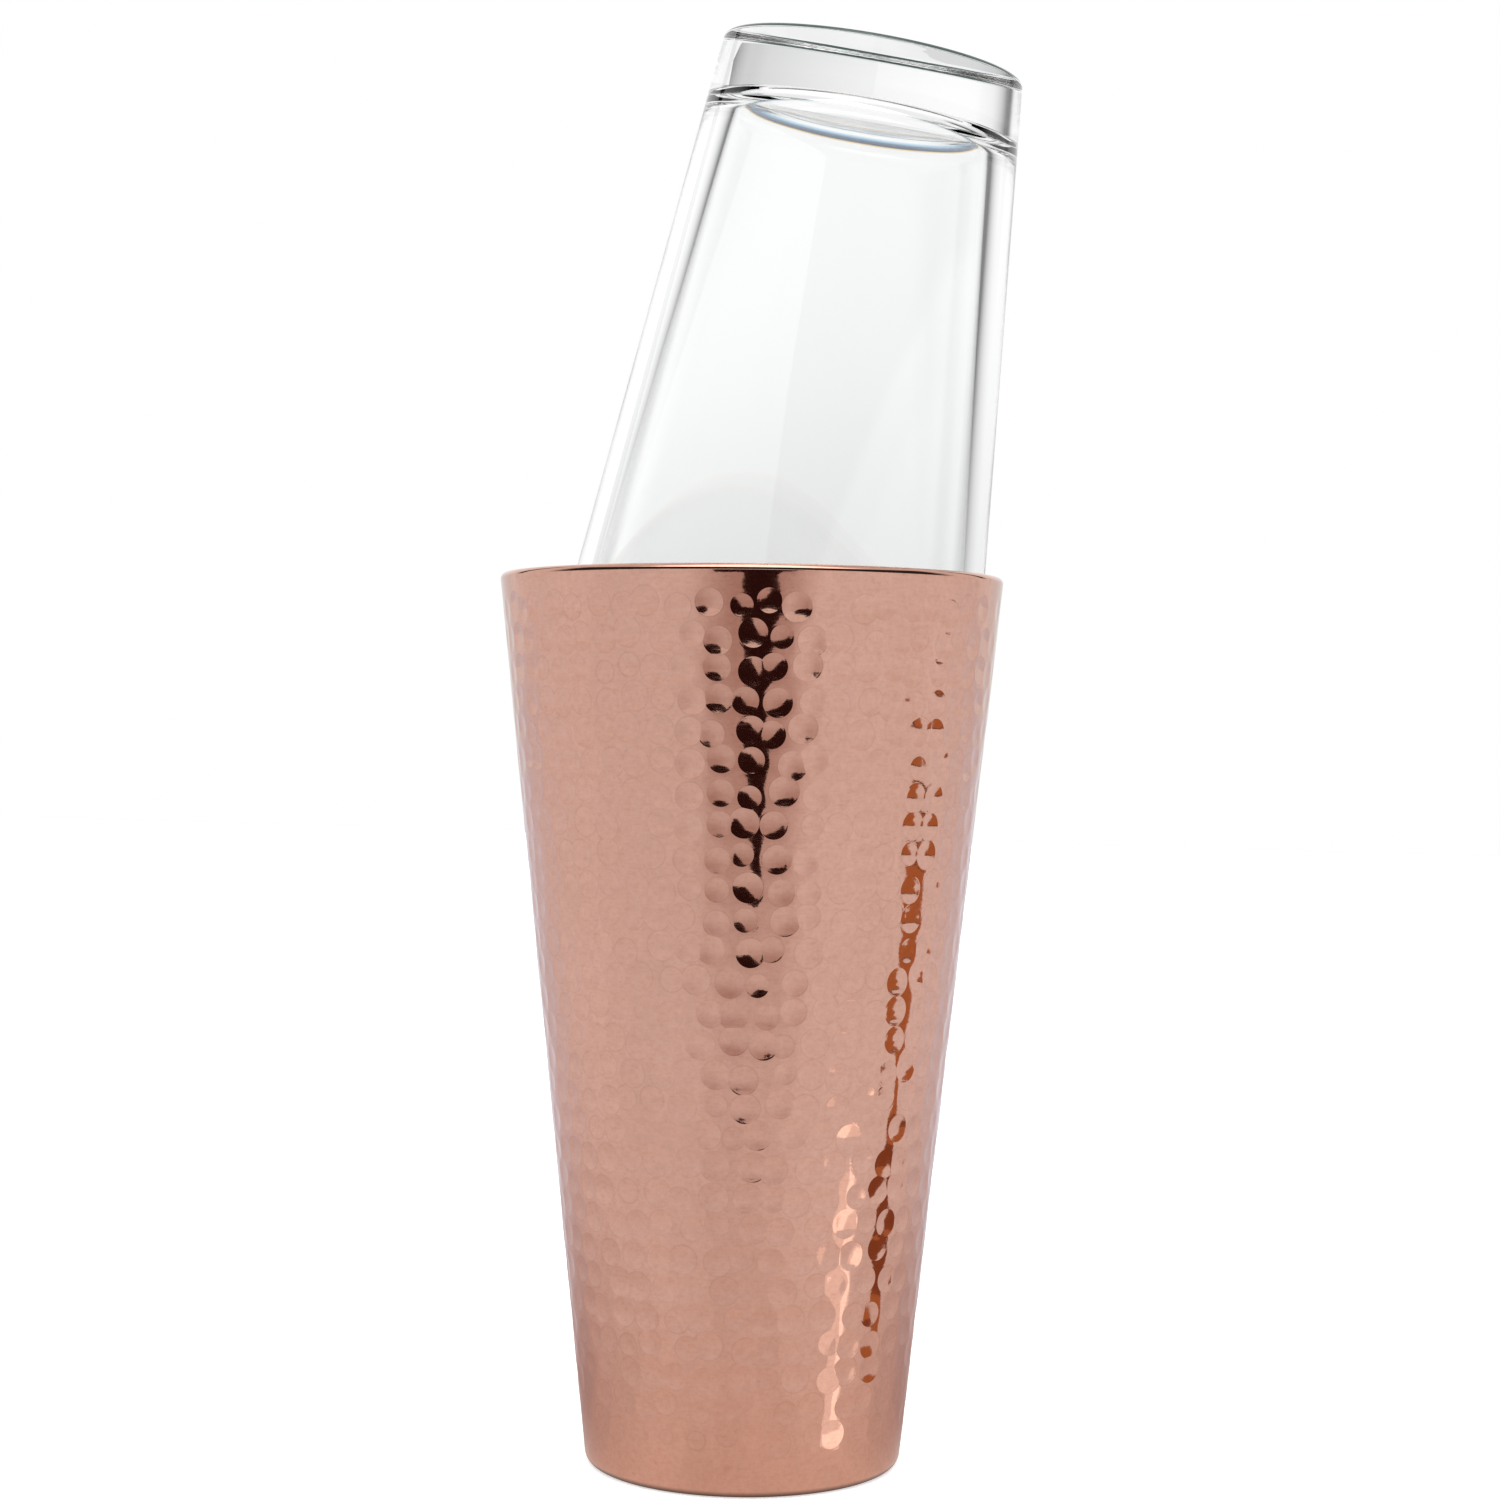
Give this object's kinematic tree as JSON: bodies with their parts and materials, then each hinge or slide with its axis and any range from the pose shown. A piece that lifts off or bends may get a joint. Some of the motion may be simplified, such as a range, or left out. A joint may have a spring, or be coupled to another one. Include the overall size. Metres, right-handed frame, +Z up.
{
  "type": "cocktail shaker set",
  "caption": "Hammered copper shaker cup with a steel liner, and a clear mixing glass that stands leaning, mouth down, in its rim.",
  "frame": {"origin": "centre of the cup's flat base", "axes": "+Z up along the cup's axis; the mixing glass leans towards +X; the XZ plane is the mirror plane"},
  "size_m": [0.1049, 0.1016, 0.2861],
  "materials": {
    "hammered_copper": null,
    "liner_steel": "satin",
    "clear_glass": "clear, polished"
  },
  "bodies": {
    "cup": {"copper_cup": "hammered_copper", "steel_liner": "liner_steel"},
    "glass": {"mixing_glass": "clear_glass"}
  },
  "joints": [
    {"name": "glass_lift", "type": "slide", "parent": "cup", "child": "glass", "axis": [0, 0, 1], "range_m": [0, 0.06]}
  ]
}
